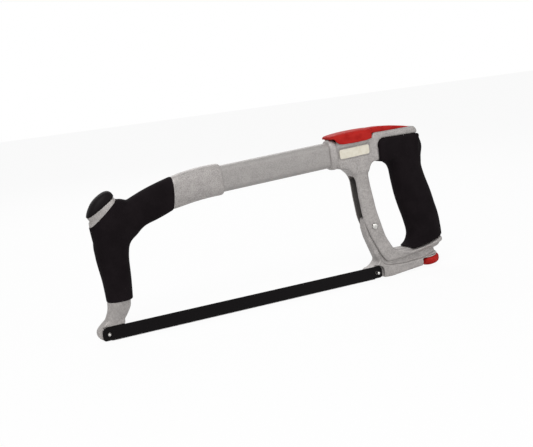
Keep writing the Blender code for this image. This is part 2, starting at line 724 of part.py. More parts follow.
def make_tension_rod(axis):
    """Rod with a slotted eye: the eccentric runs in the slot."""
    top = (Vector((LEVER_PIVOT[0], 0, LEVER_PIVOT[1])) - along_rod(0)).length + THROW
    low = -2.5
    rod_body = rod("tension_rod", along_rod(low), ROD_UP, top - 5.5 - low, ROD_RADIUS, 20)
    eye = [beside_rod(top - 6.3, -6.0), beside_rod(top - 6.3, 7.6),
           beside_rod(top + 5.8, 7.6), beside_rod(top + 5.8, -6.0)]
    slot = [beside_rod(top - 4.2, -4.3), beside_rod(top - 4.2, 5.9),
            beside_rod(top + 4.2, 5.9), beside_rod(top + 4.2, -4.3)]
    boolean(rod_body, prism("rod_eye", [rounded([(*corner, 4.0) for corner in eye])], 2.45), 'UNION')
    boolean(rod_body, prism("rod_slot", [rounded([(*corner, 2.5) for corner in slot])], 5.0))
    return finish(rod_body, (0.5, 0.5, 0.5), 0.35, 1.0, axis)


def make_rod_bush():
    """Plain bush in the bottom of the spine that guides the rod."""
    bush = rod("rod_bush", along_rod(22.0), ROD_UP, 13.5, 5.0, 20)
    boolean(bush, rod("bush_hole", along_rod(20.0), ROD_UP, 18.0, ROD_RADIUS + 0.2, 20))
    return finish(bush, (0.6, 0.45, 0.2), 0.4, 0.9)


ARM_NARROW = [
    (289.0, 50.5, 3), (291.2, 40.5, 30), (296.6, 26.4, 30), (301.3, 14.0, 8), (304.0, 4.0), (330.0, 1.0),
    (362.0, 5.0), (376.6, 8.0, 2), (374.6, 16.8, 3), (318.4, 16.8, 7), (309.3, 39.3, 40),
    (304.0, 53.0, 10), (301.6, 61.6, 3), (289.4, 61.6, 2),
]
ARM_WIDE = [
    (288.6, 5.0, 1.5), (288.6, -4.6, 2), (301.0, -4.8, 10), (309.0, -6.3, 10), (317.0, -6.65, 20),
    (330.7, -5.2, 40), (345.7, -3.9, 40), (358.0, -2.8, 1.5), (359.4, 3.3), (377.0, 6.7, 1.2),
    (376.8, 11.0, 1.2), (360.0, 5.8, 20), (333.2, 4.6, 60), (314.5, 6.1, 10), (308.2, 8.6, 6),
    (304.5, 14.6, 10), (302.1, 22.7), (302.7, 13.3, 4), (297.3, 7.9, 10),
]


def make_tension_arm(axis):
    arm = prism("tension_arm", [rounded(ARM_NARROW)], ARM_HALF, 0.6)
    boolean(arm, prism("arm_wide", [rounded(ARM_WIDE)], ARM_WIDE_HALF, 0.8), 'UNION')
    seat = rounded([(270, -20), (300, -20), (307.4, -8, 2), (307.4, 5.0, 5), (301.0, 8.4, 2), (270, 8.4)])
    boolean(arm, prism("blade_seat_rear", [seat], 20.0, 0.0, SEAT_Y - 20.0))
    boolean(arm, cross_pin("arm_bore", ARM_PIVOT, -12, 12, 2.6))
    boolean(arm, cross_pin("rear_pin_hole", (REAR_HOLE_X + PIN_TAKEUP, 0), -10, 3.0, PIN_RADIUS + 0.1))
    slot = [beside_rod(-2, -5.2), beside_rod(-2, 4.4), beside_rod(30, 4.4), beside_rod(30, -5.2)]
    boolean(arm, prism("rod_slot_arm", [slot], ROD_RADIUS + 0.6))
    under = [beside_rod(6.3, -12.6), beside_rod(6.3, 20), beside_rod(-20, 20), beside_rod(-20, -12.6)]
    boolean(arm, prism("knob_room", [under], 12.0))
    return finish(arm, (0.38, 0.36, 0.34), 0.42, 0.75, axis)


def make_arm_pivot():
    """Headed cross pin through the leg, and the ring that holds it on the far side."""
    pin = turned("arm_pivot_pin", [(0, -0.9), (2.5, -0.9), (3.2, -0.3), (3.2, 0.6), (2.45, 0.6),
                                   (2.45, 18.7), (2.1, 19.0), (0, 19.0)][::-1],
                 (ARM_PIVOT[0], -LEG_HALF - 0.9, ARM_PIVOT[1]), (0, 1, 0))
    finish(pin, (0.55, 0.55, 0.55), 0.28, 1.0)
    clip = cross_pin("pivot_pin_clip", ARM_PIVOT, LEG_HALF + GAP, LEG_HALF + GAP + 1.0, 4.2)
    boolean(clip, cross_pin("clip_hole", ARM_PIVOT, 0, 20, 2.6))
    finish(clip, (0.3, 0.3, 0.3), 0.4, 1.0)


def make_knob(knob_axis, washer_axis):
    """Domed knob with a threaded insert, under a washer that bears on the arm."""
    profile = [(4.9, 4.4), (9.7, 4.4), (10.6, 3.4), (KNOB_RADIUS, 1.6), (10.6, -0.8), (9.6, -2.7),
               (7.2, -4.0), (3.8, -4.7), (0.0, -4.8)]
    knob = turned("tension_knob", [(0, -3.4), (4.9, -3.4)] + profile, along_rod(0), ROD_UP)
    finish(knob, (0.46, 0.032, 0.028), 0.35, 0.0, knob_axis)
    insert = rod("knob_insert", along_rod(-3.0), ROD_UP, 7.2, 4.6, 20)
    boolean(insert, rod("insert_thread", along_rod(-5.0), ROD_UP, 12.0, ROD_RADIUS + 0.1, 20))
    finish(insert, (0.62, 0.46, 0.2), 0.35, 1.0, knob_axis)
    washer = rod("knob_washer", along_rod(4.75), ROD_UP, 1.1, 8.4, 24)
    boolean(washer, rod("washer_hole", along_rod(0.0), ROD_UP, 8.0, ROD_RADIUS + 0.15, 20))
    finish(washer, (0.5, 0.5, 0.5), 0.35, 1.0, washer_axis)


# ---------------------------------------------------------------- blade

def blade_outline():
    """Blade with rounded ends and teeth along its lower edge."""
    half = BLADE_HEIGHT / 2
    root = -half + 0.9
    start = FRONT_HOLE_X + 2.0
    teeth = int((PIN_SPACING - 4.0) / TOOTH_PITCH)
    points = []
    for k in range(teeth):
        x = start + k * TOOTH_PITCH
        points.append(Vector((x, root)))
        points.append(Vector((x + 0.25 * TOOTH_PITCH, -half)))
    rear = REAR_HOLE_X + BLADE_END
    front = FRONT_HOLE_X - BLADE_END
    upper, lower = BLADE_CORNERS
    ends = rounded([(PIN_SPACING / 2, root), (rear, root, lower), (rear, half, upper),
                    (front, half, upper), (front, root, lower)])
    return points + [Vector((start + teeth * TOOTH_PITCH, root))] + ends[1:]


def make_blade(axis):
    outlines = [blade_outline(), circle((FRONT_HOLE_X, 0), BLADE_HOLE_RADIUS),
                circle((REAR_HOLE_X, 0), BLADE_HOLE_RADIUS)]
    blade = prism("blade", outlines, BLADE_THICK / 2, 0.0, BLADE_Y)
    return finish(blade, (0.012, 0.011, 0.012), 0.45, 0.4, axis)


def make_blade_pins(arm_axis):
    """Steel pins, leaning on the outer sides of the blade's holes."""
    for name, x, tip, hang in (("front_blade_pin", FRONT_HOLE_X - PIN_TAKEUP, 6.6, None),
                               ("rear_blade_pin", REAR_HOLE_X + PIN_TAKEUP, 8.6, arm_axis)):
        pin = turned(name, [(0, 0), (0.9, 0), (PIN_RADIUS, 0.7), (PIN_RADIUS, tip + 2.6), (0, tip + 2.6)][::-1],
                     (x, -tip, 0), (0, 1, 0), 20)
        finish(pin, (0.6, 0.6, 0.6), 0.28, 1.0, hang)


# ---------------------------------------------------------------- assembly

def build():
    lever_axis = add_empty("lever_axis", *LEVER_PIVOT, ORIGIN)
    arm_axis = add_empty("arm_axis", *ARM_PIVOT, ORIGIN)
    rod_axis = add_empty("rod_axis", *LEVER_PIVOT, ORIGIN)
    washer_axis = add_empty("washer_axis", *KNOB_CENTRE, ORIGIN)
    knob_axis = add_empty("knob_axis", *KNOB_CENTRE, ORIGIN)
    blade_axis = add_empty("blade_axis", FRONT_HOLE_X, 0, ORIGIN)
    make_front_handle()
    make_front_grip()
    make_knob_cap()
    make_tube()
    make_tube_pins()
    make_rear_handle()
    make_name_plate()
    make_rear_grip()
    make_lever(lever_axis)
    make_lever_shaft(lever_axis)
    make_tension_rod(rod_axis)
    make_rod_bush()
    make_tension_arm(arm_axis)
    make_arm_pivot()
    make_knob(knob_axis, washer_axis)
    make_blade(blade_axis)
    make_blade_pins(arm_axis)


build()
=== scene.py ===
import math

import bmesh
import bpy
from mathutils import Matrix, Vector


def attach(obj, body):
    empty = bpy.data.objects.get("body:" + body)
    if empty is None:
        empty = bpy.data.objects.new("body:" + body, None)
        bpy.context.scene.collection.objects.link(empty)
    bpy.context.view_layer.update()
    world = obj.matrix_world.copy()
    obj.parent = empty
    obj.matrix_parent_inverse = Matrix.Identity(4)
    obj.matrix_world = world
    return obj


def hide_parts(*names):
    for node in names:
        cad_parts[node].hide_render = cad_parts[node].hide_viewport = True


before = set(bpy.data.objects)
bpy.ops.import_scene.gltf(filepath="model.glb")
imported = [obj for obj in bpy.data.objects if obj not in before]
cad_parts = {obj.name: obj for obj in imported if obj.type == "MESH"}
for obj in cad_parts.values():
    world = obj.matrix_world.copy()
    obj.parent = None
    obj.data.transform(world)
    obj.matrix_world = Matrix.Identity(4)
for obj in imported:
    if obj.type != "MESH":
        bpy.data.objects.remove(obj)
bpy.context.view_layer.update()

# The saw's own measures are in millimetres: x from the front pin line, z from the blade's middle.
sawMiddle = 188.635
sawFloor = -6.95
toRow = Matrix.Scale(0.001, 4) @ Matrix.Translation((-sawMiddle, 0, -sawFloor))
materials = {}


class Wire:
    # a number on its way through a material: + - * and abs add Math nodes
    def __init__(self, finish, socket):
        self.finish = finish
        self.socket = socket

    def math(self, operation, *values):
        return self.finish.add("ShaderNodeMath", {"operation": operation}, dict(enumerate(values)))

    def __add__(self, other):
        return self.math("ADD", self, other)

    def __sub__(self, other):
        return self.math("SUBTRACT", self, other)

    def __rsub__(self, other):
        return self.math("SUBTRACT", other, self)

    def __mul__(self, other):
        return self.math("MULTIPLY", self, other)

    def __abs__(self):
        return self.math("ABSOLUTE", self)

    __radd__ = __add__
    __rmul__ = __mul__


class Finish:
    def __init__(self, name, **shader):
        self.material = bpy.data.materials.new(name)
        self.material.use_nodes = True
        self.tree = self.material.node_tree
        self.shader = self.tree.nodes["Principled BSDF"]
        for socket, value in shader.items():
            self.shader.inputs[socket.replace("_", " ")].default_value = value
        self.place = self.add("ShaderNodeTexCoord", output="Object")
        materials[name] = self.material

    def add(self, kind, settings=None, inputs=None, output=0):
        node = self.tree.nodes.new(kind)
        for key, value in (settings or {}).items():
            setattr(node, key, value)
        for key, value in (inputs or {}).items():
            if isinstance(value, Wire):
                self.tree.links.new(value.socket, node.inputs[key])
            else:
                node.inputs[key].default_value = value
        return Wire(self, node.outputs[output])

    def feed(self, socket, wire):
        self.tree.links.new(wire.socket, self.shader.inputs[socket])

    def noise(self, perMetre, detail=3.0, rough=0.55, stretch=None):
        place = self.place
        if stretch:
            place = self.add("ShaderNodeMapping", {}, {"Vector": place, "Scale": stretch})
        inputs = {"Vector": place, "Scale": perMetre, "Detail": detail, "Roughness": rough}
        return self.add("ShaderNodeTexNoise", {}, inputs, "Fac")

    def step(self, value, low, high):
        # 0 below low, 1 above high, soft between them
        settings = {"interpolation_type": "SMOOTHSTEP"}
        return self.add("ShaderNodeMapRange", settings, {"Value": value, "From Min": low, "From Max": high})

    def blend(self, factor, first, second):
        # both are (r, g, b) or a colour wire
        inputs = {0: factor}
        for key, value in ((6, first), (7, second)):
            inputs[key] = value if isinstance(value, Wire) else (*value, 1.0)
        return self.add("ShaderNodeMix", {"data_type": "RGBA"}, inputs, 2)

    def edges(self):
        # 0.5 on flat ground, more on outer edges, less in creases
        return self.add("ShaderNodeNewGeometry", output="Pointiness")

    def bump(self, height, depth):
        normal = self.add("ShaderNodeBump", {}, {"Height": height, "Distance": depth, "Strength": 1.0})
        self.feed("Normal", normal)


castLook = {
    "name": "castSilver",
    "paint": (0.425, 0.399, 0.385),
    "shade": (0.255, 0.239, 0.231),
    # colour of the painted shade in creases and in the rear casting's channel
    "hollowShade": (0.06, 0.054, 0.05),
    "worn": (0.56, 0.535, 0.515),
    "metallic": 0.3,
    "roughness": 0.5,
    "clouds": 95.0,              # clouds, grain and flakes per metre
    "grain": 1050.0,
    "flakes": 2600.0,
    "grainDepth": 0.00009,
}
# the rear casting gets painted shade inside its channel: saw millimetres, with the bow per metre, the fade in
# metres
channelLook = {"half": 6.1, "top": 110.0, "wall": 297.3, "lean": 0.06, "bow": 2.06, "fade": (0.003, 0.006)}
rearLook = dict(castLook, name="castRear", channel=channelLook)


def channelShade(finish, channel, soft=0.0003):
    # 1 inside the open channel of the rear leg, where the painted shade goes: near the middle plane, below
    # its top, before its rear wall
    x, y, z = (finish.add("ShaderNodeSeparateXYZ", {}, {0: finish.place}, axis) for axis in "XYZ")
    half = channel["half"] * 0.001
    down = (channel["top"] - sawFloor) * 0.001 - z
    wall = (channel["wall"] - sawMiddle) * 0.001 + down * channel["lean"] + down * down * channel["bow"]
    before = 1 - finish.step(x, wall - soft, wall + soft)
    return before * finish.step(down, *channel["fade"]) * (1 - finish.step(abs(y), half - soft, half))


def castSilver(look):
    finish = Finish(look["name"], Metallic=look["metallic"])
    clouds = finish.noise(look["clouds"], 4.0)
    grain = finish.noise(look["grain"], 2.0)
    flakes = finish.noise(look["flakes"], 1.0)
    edges = finish.edges()
    tone = finish.step(clouds * 0.3 + grain * 0.7, 0.34, 0.66)
    colour = finish.blend(tone, look["shade"], look["paint"])
    colour = finish.blend(finish.step(flakes, 0.6, 0.75) * 0.25, colour, look["worn"])
    # painted shade: darker where the pointiness shows a crease
    colour = finish.blend(finish.step(0.5 - edges, 0.012, 0.07) * 0.9, colour, look["hollowShade"])
    # painted shade inside the rear casting's channel
    if "channel" in look:
        colour = finish.blend(channelShade(finish, look["channel"]) * 0.8, colour, look["hollowShade"])
    colour = finish.blend(finish.step(edges, 0.54, 0.62) * 0.45, colour, look["worn"])
    finish.feed("Base Color", colour)
    finish.feed("Roughness", look["roughness"] - 0.08 + clouds * 0.12 + grain * 0.06)
    finish.bump(grain * 0.7 + clouds * 0.9, look["grainDepth"])


tubeLook = {
    "name": "tubeSilver",
    "paint": (0.315, 0.296, 0.286),
    "shade": (0.19, 0.178, 0.172),
    # colour of the painted shade in creases
    "hollowShade": (0.09, 0.083, 0.078),
    "worn": (0.46, 0.44, 0.425),
    "metallic": 0.3,
    "roughness": 0.48,
    "clouds": 95.0,
    "grain": 1200.0,
    "flakes": 2600.0,
    "grainDepth": 0.00006,
}

rubberLook = {
    "name": "blackRubber",
    "rubber": (0.0062, 0.0043, 0.0052),
    "dusty": (0.0118, 0.0088, 0.0102),
    "roughness": 0.74,
    "shine": 0.06,
    "clouds": 60.0,
    "grain": 2100.0,
    "pebbles": 1150.0,
    "grainDepth": 0.00007,
    "seam": 0.00022,             # half width of the mould's parting line
}


def blackRubber(look):
    finish = Finish(look["name"], Specular_IOR_Level=look["shine"])
    grain = finish.noise(look["grain"], 2.0, 0.6)
    pebbles = finish.add("ShaderNodeTexVoronoi", {"feature": "SMOOTH_F1"},
                         {"Vector": finish.place, "Scale": look["pebbles"], "Smoothness": 0.6}, "Distance")
    clouds = finish.noise(look["clouds"], 3.0)
    edges = finish.edges()
    colour = finish.blend(finish.step(clouds, 0.3, 0.75) * 0.6, look["rubber"], look["dusty"])
    colour = finish.blend(finish.step(edges, 0.53, 0.62) * 0.5, colour, look["dusty"])
    finish.feed("Base Color", colour)
    finish.feed("Roughness", look["roughness"] + grain * 0.12 + clouds * 0.06)
    across = finish.add("ShaderNodeSeparateXYZ", {}, {0: finish.place}, "Y")
    seam = 1 - finish.step(abs(across), look["seam"] * 0.4, look["seam"])
    finish.bump(grain * 0.4 + pebbles * 0.6 + seam * 1.4, look["grainDepth"])


padLook = {
    "name": "padRubber",
    "rubber": (0.0055, 0.0042, 0.0048),
    "dusty": (0.010, 0.008, 0.009),
    "roughness": 0.42,
    "shine": 0.07,
    "clouds": 60.0,
    "grain": 1700.0,
    "pebbles": 1150.0,
    "grainDepth": 0.00003,
    "seam": 0.00001,
}

redLook = {
    "name": "redPlastic",
    "red": (0.45, 0.020, 0.016),
    "deep": (0.375, 0.012, 0.010),
    "scuffed": (0.46, 0.045, 0.035),
    "roughness": 0.42,
    "shine": 0.06,
    "clouds": 120.0,
    "peel": 900.0,
    "peelDepth": 0.00003,
}


def redPlastic(look):
    finish = Finish(look["name"], Specular_IOR_Level=look["shine"])
    clouds = finish.noise(look["clouds"], 3.0)
    peel = finish.noise(look["peel"], 2.0)
    edges = finish.edges()
    colour = finish.blend(finish.step(clouds, 0.35, 0.65), look["deep"], look["red"])
    colour = finish.blend(finish.step(edges, 0.54, 0.64) * 0.45, colour, look["scuffed"])
    finish.feed("Base Color", colour)
    finish.feed("Roughness", look["roughness"] + peel * 0.1)
    finish.bump(peel, look["peelDepth"])


steelLook = {
    "name": "brightSteel",
    "steel": (0.62, 0.61, 0.59),
    "dull": (0.42, 0.41, 0.39),
    "roughness": 0.24,
    "clouds": 400.0,
    "lines": 900.0,
    "lineDepth": 0.00001,
}


def brightSteel(look):
    finish = Finish(look["name"], Metallic=1.0)
    lines = finish.noise(look["lines"], 3.0, 0.6, (6.0, 6.0, 0.7))
    clouds = finish.noise(look["clouds"], 2.0)
    finish.feed("Base Color", finish.blend(finish.step(clouds, 0.35, 0.7), look["steel"], look["dull"]))
    finish.feed("Roughness", look["roughness"] + lines * 0.16)
    finish.bump(lines, look["lineDepth"])


darkSteelLook = dict(steelLook, name="darkSteel", steel=(0.2, 0.195, 0.19), dull=(0.09, 0.088, 0.085),
                     roughness=0.34)
brassLook = dict(steelLook, name="brass", steel=(0.62, 0.44, 0.17), dull=(0.42, 0.28, 0.1), roughness=0.3)

bladeLook = {
    "name": "bladeBlack",
    "paint": (0.0034, 0.0026, 0.0030),
    "rubbed": (0.0085, 0.0072, 0.0078),
    "steel": (0.16, 0.155, 0.15),
    "bare": (0.00045, 0.00117),  # bare steel ends between these heights above the tips
    "roughness": 0.36,
    "shine": 0.08,
    "clouds": 90.0,
    "scratches": 700.0,
    "scratchDepth": 0.00002,
}


def bladeBlack(look):
    # the tooth tips stand on the row's floor, at height 0
    finish = Finish(look["name"], Specular_IOR_Level=look["shine"])
    height = finish.add("ShaderNodeSeparateXYZ", {}, {0: finish.place}, "Z")
    scratches = finish.noise(look["scratches"], 4.0, 0.7, (0.12, 1.0, 2.2))
    clouds = finish.noise(look["clouds"], 3.0)
    bare = 1 - finish.step(height + scratches * 0.0005, *look["bare"])
    colour = finish.blend(finish.step(scratches, 0.58, 0.8) * 0.6, look["paint"], look["rubbed"])
    colour = finish.blend(bare * 0.75, colour, look["steel"])
    finish.feed("Base Color", colour)
    finish.feed("Metallic", bare * 0.8)
    finish.feed("Roughness", look["roughness"] + clouds * 0.16)
    finish.bump(scratches, look["scratchDepth"])


plateLook = {
    "name": "plateCream",
    "cream": (0.73, 0.69, 0.585),
    "aged": (0.66, 0.615, 0.50),
    # colour of the painted shade in the creases round the raised border
    "plateCreaseShade": (0.3, 0.27, 0.22),
    "roughness": 0.36,
    "shine": 0.5,
    "clouds": 260.0,
    "cloudDepth": 0.00001,
}


def plateCream(look):
    finish = Finish(look["name"], Specular_IOR_Level=look["shine"])
    clouds = finish.noise(look["clouds"], 3.0)
    edges = finish.edges()
    colour = finish.blend(finish.step(clouds, 0.35, 0.7), look["cream"], look["aged"])
    # painted shade: darker in the creases of the border
    colour = finish.blend(finish.step(0.5 - edges, 0.02, 0.1) * 0.5, colour, look["plateCreaseShade"])
    finish.feed("Base Color", colour)
    finish.feed("Roughness", look["roughness"] + clouds * 0.1)
    finish.bump(clouds, look["cloudDepth"])


for look in (castLook, rearLook, tubeLook):
    castSilver(look)
for look in (rubberLook, padLook):
    blackRubber(look)
redPlastic(redLook)
for look in (steelLook, darkSteelLook, brassLook):
    brightSteel(look)
bladeBlack(bladeLook)
plateCream(plateLook)
print("materials:", ", ".join(materials))


def smoothRows(keys, steps):
    # rows of numbers on a smooth curve through the key rows
    rows = []
    for i in range(len(keys) - 1):
        four = keys[max(i - 1, 0)], keys[i], keys[i + 1], keys[min(i + 2, len(keys) - 1)]
        for k in range(steps):
            t = k / steps
            rows.append([b + 0.5 * t * (c - a + t * (2 * a - 5 * b + 4 * c - d + t * (3 * b - a - 3 * c + d)))
                         for a, b, c, d in zip(*four)])
    return rows + [list(keys[-1])]


def ring(bm, x, z, lean, tall, wide, power=2.3):
    # rounded section across the saw's XZ path, whose direction is lean degrees
    made = bmesh.ops.create_circle(bm, radius=1, segments=56)["verts"]
    turn = math.radians(lean)
    for v in made:
        angle = math.atan2(v.co.y, v.co.x)
        c, s = math.cos(angle), math.sin(angle)
        up = math.copysign(abs(c) ** (2 / power), c) * tall
        side = math.copysign(abs(s) ** (2 / power), s) * wide
        v.co = (x - math.sin(turn) * up, side, z + math.cos(turn) * up)
    return list({edge for v in made for edge in v.link_edges})


def skin(bm, loops):
    # skin over loops of edges, with an n-gon on each end
    for low, high in zip(loops, loops[1:]):
        bmesh.ops.bridge_loops(bm, edges=low + high)
    for end in (loops[0], loops[-1]):
        bmesh.ops.contextual_create(bm, geom=end)


def addLoft(bm, keys, steps, power=2.3, grow=0.0):
    # keys of (middle x, middle z, lean, half height, half width)
    loops = []
    for x, z, lean, tall, wide in smoothRows(keys, steps):
        loops.append(ring(bm, x, z, lean, tall + grow, wide + grow, power))
    skin(bm, loops)


def addPlate(bm, corners, half, rim=0.0, y=0.0):
    # outline of (x, z) or (x, z, radius) corners in the XZ plane, half thickness each way, soft rims
    made = [bm.verts.new((c[0], y - half, c[1])) for c in corners]
    edges = [bm.edges.new((a, b)) for a, b in zip(made, made[1:] + made[:1])]
    bmesh.ops.contextual_create(bm, geom=edges)
    face = made[0].link_faces[0]
    for v, corner in zip(made, corners):
        if len(corner) > 2:
            arms = [edge.other_vert(v).co - v.co for edge in v.link_edges]
            opening = arms[0].angle(arms[1])
            reach = corner[2] / math.tan(opening / 2)
            parts = max(2, round((math.pi - opening) / 0.16))
            bmesh.ops.bevel(bm, geom=[v], offset=reach, segments=parts, profile=0.5, affect="VERTICES",
                            clamp_overlap=False, material=-1)
    face = [f for f in bm.faces if all(abs(v.co.y - (y - half)) < 0.001 for v in f.verts)
            and all(len(e.link_faces) == 1 for e in f.edges)][-1]
    far = bmesh.ops.extrude_face_region(bm, geom=[face], use_keep_orig=True)["geom"]
    farVerts = [g for g in far if isinstance(g, bmesh.types.BMVert)]
    bmesh.ops.translate(bm, verts=farVerts, vec=(0, 2 * half, 0))
    if rim:
        farFace = [g for g in far if isinstance(g, bmesh.types.BMFace)][0]
        rims = list(face.edges) + list(farFace.edges)
        bmesh.ops.bevel(bm, geom=rims, offset=rim, segments=4, profile=0.5, affect="EDGES",
                        clamp_overlap=False, material=-1)


def addTurned(bm, profile, base, direction, steps=64):
    # profile of (radius, height) spun round an axis
    made = [bm.verts.new((radius, 0, height)) for radius, height in profile]
    edges = [bm.edges.new(pair) for pair in zip(made, made[1:])]
    bmesh.ops.spin(bm, geom=made + edges, cent=(0, 0, 0), axis=(0, 0, 1), angle=2 * math.pi, steps=steps,
                   use_merge=True, dvec=(0, 0, 0))
    bmesh.ops.remove_doubles(bm, verts=bm.verts, dist=0.0005)
    turn = Vector((0, 0, 1)).rotation_difference(Vector(direction).normalized()).to_matrix().to_4x4()
    bmesh.ops.transform(bm, matrix=Matrix.Translation(base) @ turn, verts=bm.verts)


def solid(build, *args, **settings):
    # bare object in saw millimetres, from one of the add functions or a function of (bm)
    bm = bmesh.new()
    build(bm, *args, **settings)
    bmesh.ops.recalc_face_normals(bm, faces=bm.faces)
    mesh = bpy.data.meshes.new("rough")
    bm.to_mesh(mesh)
    bm.free()
    made = bpy.data.objects.new("rough", mesh)
    bpy.context.scene.collection.objects.link(made)
    return made


def evaluated(made):
    mesh = bpy.data.meshes.new_from_object(made.evaluated_get(bpy.context.evaluated_depsgraph_get()))
    made.modifiers.clear()
    made.data = mesh
    return made


def melt(made, grain, passes):
    # one skin over everything, of this grain, its edges softened in so many passes
    remesh = made.modifiers.new("skin", "REMESH")
    remesh.mode = "VOXEL"
    remesh.voxel_size = grain
    remesh.adaptivity = 0.0
    soften = made.modifiers.new("soften", "SMOOTH")
    soften.factor = 0.5
    soften.iterations = passes
    return evaluated(made)


def carve(made, *cutters):
    for cutter in cutters:
        cut = made.modifiers.new("cut", "BOOLEAN")
        cut.operation = "DIFFERENCE"
        cut.solver = "MANIFOLD"
        cut.object = cutter
    evaluated(made)
    for cutter in cutters:
        bpy.data.objects.remove(cutter)


def shaped(build, settings, *cutters):
    made = melt(solid(build), *settings["rough"])
    carve(made, *cutters)
    return melt(made, *settings["fine"])


def cylinder(bm, base, direction, length, radius):
    addTurned(bm, [(0, length), (radius, length), (radius, 0), (0, 0)], base, direction, 48)


def crossHole(bm, place, radius, half=12.0):
    cylinder(bm, (place[0], -half, place[1]), (0, 1, 0), 2 * half, radius)


def rounded(halfLong, halfHigh, radius):
    return [(a * halfLong, b * halfHigh, radius) for a, b in ((-1, -1), (1, -1), (1, 1), (-1, 1))]


def show(made, name, body, finish, replaced, sharp=None):
    # finished piece: into the row's frame, smooth, with its material, riding on its body
    made.name = name
    made.data.name = name
    made.data.transform(toRow)
    made.data.materials.clear()
    made.data.materials.append(materials[finish])
    made.data.shade_smooth()
    if sharp:
        made.data.set_sharp_from_angle(angle=math.radians(sharp))
    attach(made, body)
    if replaced:
        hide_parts(replaced)
    print(name, len(made.data.polygons), "faces")


# the front handle: foot, socket and knob head in one casting, with its rubber sleeve

through = 30.0      # half thickness of a cutter that goes right through a piece

sleeve = {
    "path": [
        (15.2, 29.7, 91, 12.6, 10.8), (15.1, 49.5, 91, 13.8, 12.0), (13.9, 72.5, 88, 15.8, 12.8),
        (16.2, 88.0, 76, 17.8, 13.0), (28.0, 102.0, 48, 18.0, 12.4), (42.0, 109.5, 26, 15.4, 11.4),
        (57.5, 115.2, 16, 16.0, 10.4), (80.6, 122.5, -4, 16.5, 9.4)],
    # the straight front up to the knob, and the hollow behind the knob
    "brow": [(14.5, 70.0, 90, 14.6, 11.0), (12.4, 90.0, 92, 14.9, 11.0), (10.8, 104.0, 101, 14.9, 10.0),
             (10.0, 113.0, 112, 15.2, 8.8)],
    "saddle": [(16.0, 110.0, 30, 9.0, 8.0), (27.0, 115.2, 12, 10.6, 8.5), (38.0, 114.4, 20, 9.6, 9.0)],
    # the knob end: distance from its top, half height, half width
    "knob": [(-26.0, 12.5, 11.0), (-17.0, 15.0, 11.2), (-8.0, 16.2, 9.8), (0.0, 16.3, 8.4)],
    "knobTop": (8.7, 120.5),
    "knobLean": 121.5,
    "end": [(-3.9, 103.0), (24.6, 126.4)],     # where the rubber stops on the knob
    "belowCuff": [(-20, 0), (50, 0), (50, 30.1), (-20, 29.7)],
    "headInset": 0.4,                          # the casting under the rubber
    "headOverlap": 2.0,                        # how far it goes in under the rubber's end
    # grain and passes of the skins before and after the cuts, and of the knob end's skin
    "rough": (0.75, 7),
    "fine": (0.6, 2),
    "head": (0.5, 2),
}


def knobPath(first=0):
    turn = math.radians(sleeve["knobLean"])
    x, z = sleeve["knobTop"]
    path = []
    for along, tall, wide in smoothRows(sleeve["knob"][first:], 4):
        path.append((x + along * math.cos(turn), z + along * math.sin(turn), sleeve["knobLean"], tall, wide))
    return path


def aboveEnd(gap, side=1):
    # slab on one side of the line where the rubber stops
    low, high = (Vector(point) for point in sleeve["end"])
    along = (high - low).normalized()
    normal = Vector((-along.y, along.x))
    start = low - along * 30 + normal * gap
    end = high + along * 60 + normal * gap
    return [tuple(start), tuple(end), tuple(end + normal * 60 * side), tuple(start + normal * 60 * side)]


def frontSleeve(bm):
    addLoft(bm, sleeve["path"], 6)
    addLoft(bm, sleeve["brow"], 5)
    addLoft(bm, sleeve["saddle"], 5)
    addLoft(bm, knobPath(), 1)


grip = shaped(frontSleeve, sleeve,
              solid(addPlate, aboveEnd(0.0), through),
              solid(addPlate, sleeve["belowCuff"], through))
show(grip, "frontGrip", "frame", "blackRubber", "front_grip")

foot = {
    "leg": [(14.4, 35.0, 91, 11.3, 9.4), (14.2, 29.3, 91, 11.3, 9.4), (13.4, 22.5, 95, 11.5, 8.6),
            (10.9, 17.0, 103, 12.6, 7.8), (6.6, 10.5, 108, 14.4, 6.8), (4.6, 6.0, 110, 13.0, 6.2)],
    "toe": [(-11.0, 4.2, 6), (-10.2, -2.6, 5), (-5.4, -5.6, 3), (3.0, -5.6, 6), (12.5, -0.6, 8),
            (15.6, 5.6, 4), (17.6, 12.0, 4), (10.0, 15.0, 3), (-2.0, 12.4, 5), (-6.6, 8.6, 6)],
    "toeHalf": 6.0,
    "toeRim": 1.8,
    # the flat that the blade lies against
    "seat": [(-30, -20), (40, -20), (40, 7.85), (-30, 7.85)],
    "seatY": -3.675,
    "rough": (0.75, 8),
    "fine": (0.6, 2),
}
socket = {
    "path": [(72.0, 119.8, -4, 13.2, 7.2), (80.6, 122.4, -4, 15.5, 8.6), (83.0, 123.0, -3, 15.9, 8.9),
             (98.0, 125.7, 7, 15.9, 8.9), (116.0, 127.6, 3, 15.9, 8.8), (129.5, 128.1, 2.6, 15.8, 8.7),
             (131.9, 128.2, 2.6, 15.3, 8.3), (133.0, 128.2, 2.6, 14.0, 7.4)],
    "power": 2.8,                              # how square its section is
}


def frontHead(bm):
    addLoft(bm, knobPath(1), 1, grow=-sleeve["headInset"])
    addLoft(bm, sleeve["brow"], 5, grow=-sleeve["headInset"])


def frontCasting(bm):
    addLoft(bm, foot["leg"], 5)
    addPlate(bm, foot["toe"], foot["toeHalf"], foot["toeRim"])
    addLoft(bm, socket["path"], 5, power=socket["power"])


casting = shaped(frontCasting, foot, solid(addPlate, foot["seat"], through, y=foot["seatY"] - through))
show(casting, "frontCasting", "frame", "castSilver", "front_handle")

head = melt(solid(frontHead), *sleeve["head"])
carve(head, solid(addPlate, aboveEnd(-sleeve["headOverlap"], -1), through))
show(head, "knobHead", "frame", "castSilver", None, sharp=40)

